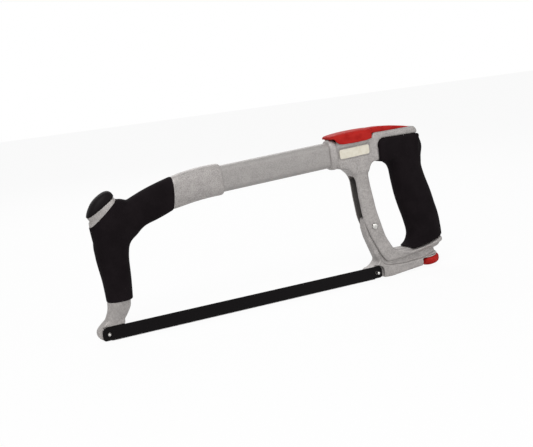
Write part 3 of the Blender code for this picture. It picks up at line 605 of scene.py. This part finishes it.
pad = {
    # height, reach to the front, reach to the rear, half width
    "rows": [(0.35, 15.6, 16.5, 8.3), (0.8, 15.9, 16.8, 8.6), (2.6, 14.3, 17.0, 8.6), (5.0, 11.0, 16.7, 8.0),
             (7.4, 6.6, 15.2, 6.6), (8.8, 2.6, 12.6, 4.8), (9.4, -0.8, 9.8, 3.0), (9.6, -4.2, 5.6, 0.7)],
    "power": 2.4,
}


def knobPad(bm):
    turn = math.radians(sleeve["knobLean"])
    x, z = sleeve["knobTop"]
    loops = []
    for height, front, back, wide in smoothRows(pad["rows"], 3):
        middle = (front - back) / 2
        ringX = x + height * math.cos(turn) - middle * math.sin(turn)
        ringZ = z + height * math.sin(turn) + middle * math.cos(turn)
        loops.append(ring(bm, ringX, ringZ, sleeve["knobLean"], (front + back) / 2, wide, pad["power"]))
    skin(bm, loops)


show(solid(knobPad), "knobPad", "frame", "padRubber", "knob_cap", sharp=50)

# the tube between the castings

tube = {
    "middle": (194.0, 131.0), "tilt": math.radians(2.6), "high": 26.2, "wide": 14.0, "corner": 5.5,
    "from": 101.0, "to": 284.0,
}
tubeLean = Matrix.Rotation(-tube["tilt"], 4, "Y")


def frameTube(bm):
    half = (tube["to"] - tube["from"]) / 2 / math.cos(tube["tilt"])
    addPlate(bm, rounded(tube["wide"] / 2, tube["high"] / 2, tube["corner"]), half)
    lie = Matrix(((0, 1, 0), (1, 0, 0), (0, 0, 1))).to_4x4()
    x = (tube["from"] + tube["to"]) / 2
    z = tube["middle"][1] + (x - tube["middle"][0]) * math.tan(tube["tilt"])
    bmesh.ops.transform(bm, matrix=Matrix.Translation((x, 0, z)) @ tubeLean @ lie, verts=bm.verts)


show(solid(frameTube), "frameTube", "frame", "tubeSilver", "frame_tube", sharp=30)

# the rear handle: collar, block, front leg, lower bar and the rim under the grip in one casting

rear = {
    # the front leg and the bar under the hand, as seen from the side
    "leg": [(266, 121), (272, 116.6, 3), (278.6, 112.5, 5), (282.6, 103.0, 10), (284.2, 85.0, 60),
            (287.2, 62.0, 40), (294.8, 41.0, 30), (305.8, 18.6, 20), (312.0, 9.9, 6), (333.0, 10.4, 60),
            (375.7, 14.9, 10), (381.0, 16.6, 2), (383.6, 24.0, 2), (357.0, 24.0), (356.0, 21.2),
            (323.4, 21.0, 7), (313.4, 38.0, 30), (304.8, 68.0, 60), (299.8, 97.0, 60), (298.4, 109.0, 14),
            (303.2, 121.0, 7), (320.0, 121.0), (320.0, 135.0), (266.0, 135.0)],
    "legHalf": 8.0,
    # the leg widens into the block
    "shoulder": [(288.0, 124.0, -84, 13.0, 9.9), (288.2, 114.0, -84, 11.0, 9.8),
                 (290.6, 106.0, -82, 8.6, 9.1), (292.0, 97.0, -84, 7.6, 8.3), (293.2, 86.0, -84, 7.2, 7.6)],
    "block": [(263.6, 118.6, 2), (268.0, 117.3, 4), (273.6, 116.4, 4), (281.6, 109.0, 8), (298.0, 109.0, 5),
              (303.4, 121.0, 7), (312.6, 121.0), (312.6, 143.6, 7), (363.4, 143.6, 2), (363.2, 147.0, 2),
              (360.0, 151.6, 2.5), (309.0, 150.9, 2.4), (306.4, 148.4, 1.8), (263.6, 148.6, 2)],
    "blockHalf": 10.0,
    "rimRadius": 1.8,
    "collar": [(254.5, 133.75, 2.6, 14.0, 8.1), (255.2, 133.75, 2.6, 14.9, 9.0),
               (256.6, 133.8, 2.6, 15.7, 9.8), (259.2, 133.9, 2.6, 16.0, 10.4),
               (261.6, 133.9, 2.6, 15.9, 10.3), (262.7, 133.9, 2.6, 15.2, 9.5),
               (263.2, 133.9, 2.6, 14.4, 8.8), (266.0, 133.7, 2.6, 14.4, 8.8)],
    "rim": [(322.0, 17.0, -8, 3.6, 7.0), (332.0, 16.8, -8, 4.4, 8.6), (343.0, 15.6, 0, 3.2, 10.8),
            (354.0, 17.1, 6, 2.7, 11.6), (370.0, 20.0, 13, 3.2, 11.6), (380.0, 22.4, 17, 4.0, 10.6),
            (384.2, 23.5, 16, 4.1, 9.2), (385.6, 23.9, 14, 3.2, 7.6)],
    # the arm's channel and the lever's slot
    "channel": [(262, 107), (288, 108.5, 3), (296.4, 105.5, 4), (297.3, 95.0, 40), (301.6, 69.3, 60),
                (310.4, 39.3, 40), (319.4, 17.7, 7), (376.2, 17.7, 2), (379.2, -10), (262, -10)],
    "channelHalf": 5.6,
    "slot": [(302.4, 146.3), (358.6, 146.3), (358.6, 160), (302.4, 160)],
    "slotHalf": 6.7,
    # radius of the room round the lever's rear end, and of the pivot pin's hole
    "leverRoom": 15.4,
    "pivotHole": 2.6,
    # radius, start and length of the holes that don't cross the casting
    "rodHole": (5.2, 14.0, 22.0),
    "tubePinHole": (2.1, (268.0, 0, 105.0), 22.0),
    "rough": (0.72, 8),
    "fine": (0.6, 2),
}
plate = {
    # the outline runs along the middle of the gap round the plate
    "middle": (282.9, 134.2), "size": (37.6, 11.4), "corner": 2.0, "halfGap": 0.9,
    "recess": 1.1,                             # how deep the recess is in the block
    "sunk": 0.4, "half": 0.35, "rim": 0.12,    # how deep the plate's middle lies, and its half thickness
    "border": 0.7, "slope": 0.15, "raised": 0.12,
}
leverPivot = (346.0, 141.5)
armPivot = (300.0, 51.6)
knobCentre = (371.7, 0.8)
rodUp = Vector((leverPivot[0] - knobCentre[0], 0, leverPivot[1] - knobCentre[1])).normalized()


def onRod(distance):
    return Vector((knobCentre[0], 0, knobCentre[1])) + rodUp * distance


def besideRod(distance, side):
    point = onRod(distance) + Vector((rodUp.z, 0, -rodUp.x)) * side
    return (point.x, point.z)


def rearCasting(bm):
    addPlate(bm, rear["leg"], rear["legHalf"], rear["rimRadius"])
    addLoft(bm, rear["shoulder"], 4, power=4.5)
    addPlate(bm, rear["block"], rear["blockHalf"], rear["rimRadius"])
    addLoft(bm, rear["collar"], 3, power=2.8)
    addLoft(bm, rear["rim"], 5, power=2.6)


def labelPlate(bm, grow, half, y, rim=0.0):
    long, high = (size / 2 + grow for size in plate["size"])
    addPlate(bm, rounded(long, high, plate["corner"]), half, rim, y)
    x, z = plate["middle"]
    bmesh.ops.transform(bm, matrix=Matrix.Translation((x, 0, z)) @ tubeLean, verts=bm.verts)


rodRadius, rodStart, rodLength = rear["rodHole"]
pinRadius, pinStart, pinLength = rear["tubePinHole"]
casting = shaped(rearCasting, rear,
                 solid(addPlate, rear["channel"], rear["channelHalf"]),
                 solid(addPlate, rear["slot"], rear["slotHalf"]),
                 solid(crossHole, leverPivot, rear["leverRoom"], rear["slotHalf"]),
                 solid(cylinder, onRod(rodStart), rodUp, rodLength, rodRadius),
                 solid(cylinder, pinStart, (0, 0, 1), pinLength, pinRadius),
                 solid(crossHole, armPivot, rear["pivotHole"]),
                 solid(labelPlate, plate["halfGap"], through, plate["recess"] - rear["blockHalf"] - through))
show(casting, "rearCasting", "frame", "castRear", "rear_handle")

# the plate in its recess, with a raised border


def namePlate(bm):
    labelPlate(bm, -plate["halfGap"], plate["half"], plate["sunk"] - rear["blockHalf"], plate["rim"])
    front = min(bm.faces, key=lambda face: face.calc_center_median().y)
    for width, depth in ((plate["border"], 0.0), (plate["slope"], -plate["raised"])):
        bmesh.ops.inset_individual(bm, faces=[front], thickness=width, depth=depth, use_even_offset=True)


show(solid(namePlate), "namePlate", "frame", "plateCream", "name_plate", sharp=30)

rearGrip = {
    # level sections: z, front x, rear x, half width
    "levels": [(10.0, 335.0, 388.4, 12.4), (19.5, 334.4, 388.4, 13.0), (25.2, 341.6, 388.3, 13.3),
               (30.5, 345.2, 387.9, 13.6), (37.5, 346.4, 387.2, 13.9), (51.5, 343.2, 385.2, 14.2),
               (65.3, 338.8, 381.4, 14.2), (80.3, 334.8, 377.2, 14.0), (96.5, 332.0, 371.5, 13.6),
               (108.0, 330.4, 368.5, 13.4), (114.0, 327.4, 368.9, 13.2), (119.0, 321.6, 369.5, 13.1),
               (130.0, 317.5, 371.7, 12.9), (142.5, 317.0, 367.5, 12.2)],
    "top": [(313.2, 119.6, 2.5), (320.0, 118.2, 4), (330.0, 119.0), (345.0, 125.0), (362.0, 125.0),
            (365.0, 143.55, 2.0), (313.2, 143.55, 6.5)],
    "bottom": [(320.0, 29.6), (332.5, 24.8), (345.4, 18.8, 1.5), (360.0, 21.5, 30),
               (376.0, 25.1, 30), (398.0, 32.6), (398.0, -5), (320.0, -5)],
    "topHalf": 12.2,
    "topRim": 2.4,
    "rough": (0.8, 8),
    "fine": (0.65, 2),
}


def rearRubber(bm):
    keys = []
    for z, front, back, wide in rearGrip["levels"]:
        keys.append(((front + back) / 2, z, 90, (back - front) / 2, wide))
    addLoft(bm, keys, 6)
    addPlate(bm, rearGrip["top"], rearGrip["topHalf"], rearGrip["topRim"])


rubber = shaped(rearRubber, rearGrip, solid(addPlate, rearGrip["bottom"], through))
show(rubber, "rearGrip", "frame", "blackRubber", "rear_grip")

# the tensioner: lever, arm, knob and pins

lever = {
    # wide front: x, top z, lower edge of the skirt, half width
    "front": [(255.6, 152.5, 150.0, 8.4), (256.8, 153.4, 150.1, 10.0), (259.0, 154.2, 150.3, 11.2),
              (262.2, 154.8, 146.6, 11.8), (266.4, 155.3, 144.2, 12.0), (275.0, 156.1, 143.7, 12.0),
              (288.0, 156.7, 143.9, 12.0), (299.0, 156.8, 144.7, 12.0), (304.6, 156.7, 145.8, 11.8)],
    "tail": [(303.0, 146.9), (331.0, 146.9, 2), (340.0, 136.8, 3), (346.0, 135.3, 5), (352.2, 138.0, 4),
             (355.4, 147.0, 3), (356.0, 151.4, 1.3), (349.4, 153.0, 60), (336.9, 154.9, 60),
             (318.0, 156.5, 60), (303.0, 156.4)],
    "tailHalf": 6.2,
    "tailRim": 1.2,
    # the hollow under the wide front, and the room for the rod's eye between the lever's cheeks
    "hollow": [(254.0, 140), (318.0, 140), (318.0, 150.2), (302.0, 150.2, 1), (261.0, 150.0, 1),
               (254.0, 149.2)],
    "hollowHalf": 10.6,
    "eyeReach": 9.6,
    "eyeRoof": 5.2,
    "eyeHalf": 3.0,
    "shaftHole": 2.35,
    "rough": (0.5, 4),
    "fine": (0.45, 2),
}


def arch(bm, x, top, low, half):
    # section across the lever's front: flat below, with a rounded back
    made = bmesh.ops.create_circle(bm, radius=1, segments=48)["verts"]
    shoulder = min(5.0, (top - low) * 0.8)
    for v in made:
        c, s = v.co.x, v.co.y
        side = -math.copysign(abs(c) ** 0.75, c) * half
        if s > 0.001:
            z = top - shoulder + shoulder * s ** 0.75
        elif s < -0.001:
            z = low
        else:
            z = top - shoulder
        v.co = (x, side, z)
    return list({edge for v in made for edge in v.link_edges})


def redLever(bm):
    skin(bm, [arch(bm, *row) for row in smoothRows(lever["front"], 5)])
    addPlate(bm, lever["tail"], lever["tailHalf"], lever["tailRim"])


def eyeRoom(bm):
    # an arc in front of the shaft and over it, open below and to the rear
    x, z = leverPivot
    reach = lever["eyeReach"]
    start = math.asin(lever["eyeRoof"] / reach)
    outline = [(x + 16, z - 12), (x + 16, z + lever["eyeRoof"])]
    for k in range(13):
        angle = start + (math.pi - start) * k / 12
        outline.append((x + reach * math.cos(angle), z + reach * math.sin(angle)))
    addPlate(bm, outline + [(x - reach, z - 12)], lever["eyeHalf"])


red = shaped(redLever, lever,
             solid(addPlate, lever["hollow"], lever["hollowHalf"]),
             solid(eyeRoom),
             solid(crossHole, leverPivot, lever["shaftHole"]))
show(red, "tensionLever", "lever", "redPlastic", "tension_lever")

arm = {
    # the part inside the channel, and the wider part below it that carries the blade
    "narrow": [(289.0, 50.5, 3), (291.2, 40.5, 30), (296.6, 26.4, 30), (301.3, 14.0, 8), (304.0, 4.0),
               (330.0, 1.0), (362.0, 5.0), (376.6, 8.0, 2), (374.6, 16.8, 3), (318.4, 16.8, 7),
               (309.3, 39.3, 40), (304.0, 53.0, 10), (301.6, 61.6, 3), (289.4, 61.6, 2)],
    "narrowHalf": 5.2,
    "narrowRim": 0.6,
    "wide": [(288.6, 5.0, 1.5), (288.6, -4.6, 2), (301.0, -4.8, 10), (309.0, -6.3, 10), (317.0, -6.65, 20),
             (330.7, -5.2, 40), (345.7, -3.9, 40), (358.0, -2.8, 1.5), (359.4, 3.3), (377.0, 6.7, 1.2),
             (376.8, 11.0, 1.2), (360.0, 5.8, 20), (333.2, 4.6, 60), (314.5, 6.1, 10), (308.2, 8.6, 6),
             (304.2, 14.3, 10), (301.8, 22.4), (302.4, 13.0, 4), (297.0, 7.6, 10)],
    "wideHalf": 8.0,
    "wideRim": 0.9,
    "seat": [(270, -20), (300, -20), (307.4, -8, 2), (307.4, 5.0, 5), (301.0, 8.4, 2), (270, 8.4)],
    "seatY": -3.675,
    # slot for the rod and room for the knob: along the rod from and to, beside it from and to
    "rodSlot": (-2.0, 30.0, -5.2, 4.4),
    "rodSlotHalf": 3.1,
    "knobRoom": (6.3, -20.0, -12.6, 20.0),
    "pivotHole": 2.6,
    "rough": (0.6, 3),
    "fine": (0.55, 2),
}


def armCasting(bm):
    addPlate(bm, arm["narrow"], arm["narrowHalf"], arm["narrowRim"])
    addPlate(bm, arm["wide"], arm["wideHalf"], arm["wideRim"])


def roomByRod(bm, start, end, near, far, half):
    corners = [(start, near), (start, far), (end, far), (end, near)]
    addPlate(bm, [besideRod(*corner) for corner in corners], half)


swinging = shaped(armCasting, arm,
                  solid(addPlate, arm["seat"], through, y=arm["seatY"] - through),
                  solid(crossHole, armPivot, arm["pivotHole"]),
                  solid(roomByRod, *arm["rodSlot"], arm["rodSlotHalf"]),
                  solid(roomByRod, *arm["knobRoom"], through))
show(swinging, "tensionArm", "arm", "castSilver", "tension_arm")

# turned pieces: profiles of (radius, height)

knob = {
    "profile": [(0, -3.4), (4.9, -3.4), (4.9, 4.4), (9.4, 4.4), (10.0, 4.2), (10.5, 3.6), (10.76, 2.7),
                (10.8, 1.6), (10.7, 0.1), (10.4, -1.2), (9.7, -2.5), (8.5, -3.5), (6.6, -4.2),
                (4.2, -4.64), (1.8, -4.78), (0, -4.8)],
}
turned = solid(addTurned, knob["profile"], onRod(0), rodUp, 72)
show(turned, "tensionKnob", "knob", "redPlastic", "tension_knob", sharp=40)

washer = {
    "profile": [(2.65, 0.0), (8.15, 0.0), (8.4, 0.25), (8.4, 0.85), (8.15, 1.1), (2.65, 1.1), (2.65, 0.0)],
    "onRod": 4.75,
}
turned = solid(addTurned, washer["profile"], onRod(washer["onRod"]), rodUp)
show(turned, "knobWasher", "washer", "brightSteel", "knob_washer", sharp=30)

headedPin = {
    "profile": [(0, -0.9), (1.6, -0.86), (2.5, -0.7), (3.0, -0.4), (3.2, 0.0), (3.2, 0.6), (2.45, 0.6),
                (2.45, 18.7), (2.1, 19.0), (0, 19.0)],
    "y": -rear["legHalf"] - 0.9,
}
turned = solid(addTurned, headedPin["profile"], (armPivot[0], headedPin["y"], armPivot[1]), (0, 1, 0))
show(turned, "armPivotPin", "frame", "brightSteel", "arm_pivot_pin", sharp=40)

bladePins = {
    # x, how far the tip stands out from the middle plane, body
    "front": (-0.9, 6.6, "frame"),
    "rear": (299.7, 8.6, "arm"),
}
pinTip = [(0, 0), (0.5, 0.02), (0.95, 0.14), (1.3, 0.38), (1.53, 0.75), (1.6, 1.2)]
for end, (x, out, body) in bladePins.items():
    profile = pinTip + [(1.6, out + 2.6), (0, out + 2.6)]
    turned = solid(addTurned, profile, (x, -out, 0), (0, 1, 0), 40)
    show(turned, end + "BladePin", body, "brightSteel", end + "_blade_pin", sharp=40)

# the blade, with wavy set teeth

blade = {
    "front": -7.0, "rear": 305.8, "half": 6.95, "thick": 0.65, "y": -4.2,
    "corner": 5.2, "toothCorner": 3.0,
    "holes": (-0.6, 299.4), "holeRadius": 2.0,
    "pitch": 25.4 / 24, "firstTooth": 1.4, "toothed": 296.0, "root": -6.05, "rake": 0.25,
    "set": 0.16, "wave": 8.5,                  # sideways set of the tips, and the length of its wave
}


def toothedBlade(bm):
    pitch = blade["pitch"]
    teeth = int(blade["toothed"] / pitch)
    outline = []
    for k in range(teeth):
        x = blade["firstTooth"] + k * pitch
        outline += [(x, blade["root"]), (x + blade["rake"] * pitch, -blade["half"])]
    outline += [(blade["firstTooth"] + teeth * pitch, blade["root"]),
                (blade["rear"], blade["root"], blade["toothCorner"]),
                (blade["rear"], blade["half"], blade["corner"]),
                (blade["front"], blade["half"], blade["corner"]),
                (blade["front"], blade["root"], blade["toothCorner"])]
    addPlate(bm, outline, blade["thick"] / 2, 0.0, blade["y"])
    for v in bm.verts:
        if v.co.z < 0.05 - blade["half"]:
            v.co.y += blade["set"] * math.sin(2 * math.pi * v.co.x / blade["wave"])


strip = solid(toothedBlade)
carve(strip, *(solid(crossHole, (x, 0), blade["holeRadius"]) for x in blade["holes"]))
show(strip, "sawBlade", "blade", "bladeBlack", "blade", sharp=25)

# CAD pieces that stay, with their finishes

kept = {
    "front_tube_pin": "brightSteel", "rear_tube_pin": "brightSteel", "rod_bush": "brass",
    "pivot_pin_clip": "darkSteel", "lever_shaft": "brightSteel", "tension_rod": "brightSteel",
    "knob_insert": "brass",
}
for node, finish in kept.items():
    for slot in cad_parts[node].material_slots:
        slot.material = materials[finish]
print("kept nodes:", ", ".join(kept))

studio = {
    "floorColour": (0.9, 0.9, 0.9, 1.0),
    "floorSize": 4.0,
    "whiteShare": 0.93,
    "fill": 0.3,                 # strength of the sky's light on the saw
}


def studioFloor():
    bm = bmesh.new()
    bmesh.ops.create_grid(bm, x_segments=1, y_segments=1, size=studio["floorSize"])
    mesh = bpy.data.meshes.new("floor")
    bm.to_mesh(mesh)
    bm.free()
    floor = bpy.data.objects.new("floor", mesh)
    bpy.context.scene.collection.objects.link(floor)
    # its paper looks white to the camera and in reflections, and keeps some of the saw's shadow
    finish = Finish("floorPaper", Base_Color=studio["floorColour"], Roughness=0.9, Specular_IOR_Level=0.1)
    rays = ("Is Camera Ray", "Is Glossy Ray", "Is Transmission Ray")
    camera, glossy, passed = (finish.add("ShaderNodeLightPath", output=ray) for ray in rays)
    seen = finish.add("ShaderNodeMath", {"operation": "MINIMUM"}, {0: camera + glossy + passed, 1: 1.0})
    seen = seen * studio["whiteShare"]
    paper = Wire(finish, finish.shader.outputs[0])
    glow = finish.add("ShaderNodeEmission")
    mix = finish.add("ShaderNodeMixShader", {}, {0: seen, 1: paper, 2: glow})
    finish.tree.links.new(mix.socket, finish.tree.nodes["Material Output"].inputs["Surface"])
    mesh.materials.append(finish.material)


def studioSky():
    world = bpy.data.worlds.new("studio")
    bpy.context.scene.world = world
    world.use_nodes = True
    tree = world.node_tree
    tree.nodes.clear()
    path = tree.nodes.new("ShaderNodeLightPath")
    out = tree.nodes.new("ShaderNodeOutputWorld")
    mix = tree.nodes.new("ShaderNodeMixShader")
    seen = path.outputs["Is Camera Ray"]
    for ray in ("Is Glossy Ray", "Is Transmission Ray"):
        either = tree.nodes.new("ShaderNodeMath")
        either.operation = "MAXIMUM"
        tree.links.new(seen, either.inputs[0])
        tree.links.new(path.outputs[ray], either.inputs[1])
        seen = either.outputs[0]
    tree.links.new(seen, mix.inputs[0])
    for index, strength in ((1, studio["fill"]), (2, 1.0)):
        light = tree.nodes.new("ShaderNodeBackground")
        light.inputs["Color"].default_value = (1, 1, 1, 1)
        light.inputs["Strength"].default_value = strength
        tree.links.new(light.outputs[0], mix.inputs[index])
    tree.links.new(mix.outputs[0], out.inputs["Surface"])


lamps = {
    # place, aim, size, watts
    "topLeft": ((-0.6, -0.9, 1.3), (0, 0, 0.08), 0.8, 15.0),
    "front": ((0.7, -1.3, 0.45), (0.05, 0, 0.08), 1.0, 4.0),
    "back": ((0.2, 0.9, 0.9), (0, 0, 0.1), 1.0, 5.0),
}


def studioLamps():
    for name, (place, aim, size, watts) in lamps.items():
        light = bpy.data.lights.new(name, "AREA")
        light.shape = "DISK"
        light.size = size
        light.energy = watts
        lamp = bpy.data.objects.new(name, light)
        lamp.location = place
        lamp.rotation_euler = (Vector(place) - Vector(aim)).to_track_quat("Z", "Y").to_euler()
        bpy.context.scene.collection.objects.link(lamp)


view = {
    "aim": (177.8, 0.0, 74.8),        # saw millimetres
    "turn": 24.94,                    # camera's side angle, its height angle and its roll, degrees
    "height": 9.69,
    "roll": 6.49,
    "distance": 0.9476,
    "focalPixels": 931.9,
    "imageWidth": 533,
    "sensorWidth": 36.0,
    "nudge": (0.5, -0.5),             # pixels that the saw moves right and up in the picture
}


def photoCamera():
    camera = bpy.data.cameras.new("camera")
    camera.sensor_fit = "HORIZONTAL"
    camera.sensor_width = view["sensorWidth"]
    camera.lens = view["focalPixels"] * view["sensorWidth"] / view["imageWidth"]
    camera.clip_start = 0.01
    camera.clip_end = 20
    a, e, r = (math.radians(view[key]) for key in ("turn", "height", "roll"))
    forward = Vector((math.sin(a) * math.cos(e), math.cos(a) * math.cos(e), -math.sin(e)))
    level = Vector((math.cos(a), -math.sin(a), 0))
    upright = level.cross(forward)
    right = level * math.cos(r) - upright * math.sin(r)
    up = level * math.sin(r) + upright * math.cos(r)
    holder = bpy.data.objects.new("camera", camera)
    axes = Matrix((right, up, -forward)).transposed().to_4x4()
    pixel = view["distance"] / view["focalPixels"]
    place = toRow @ Vector(view["aim"]) - forward * view["distance"]
    place -= (right * view["nudge"][0] + up * view["nudge"][1]) * pixel
    holder.matrix_world = Matrix.Translation(place) @ axes
    bpy.context.scene.collection.objects.link(holder)
    bpy.context.scene.camera = holder


studioFloor()
studioSky()
studioLamps()
photoCamera()
bpy.context.scene.view_settings.view_transform = "Standard"
print("studio ready")
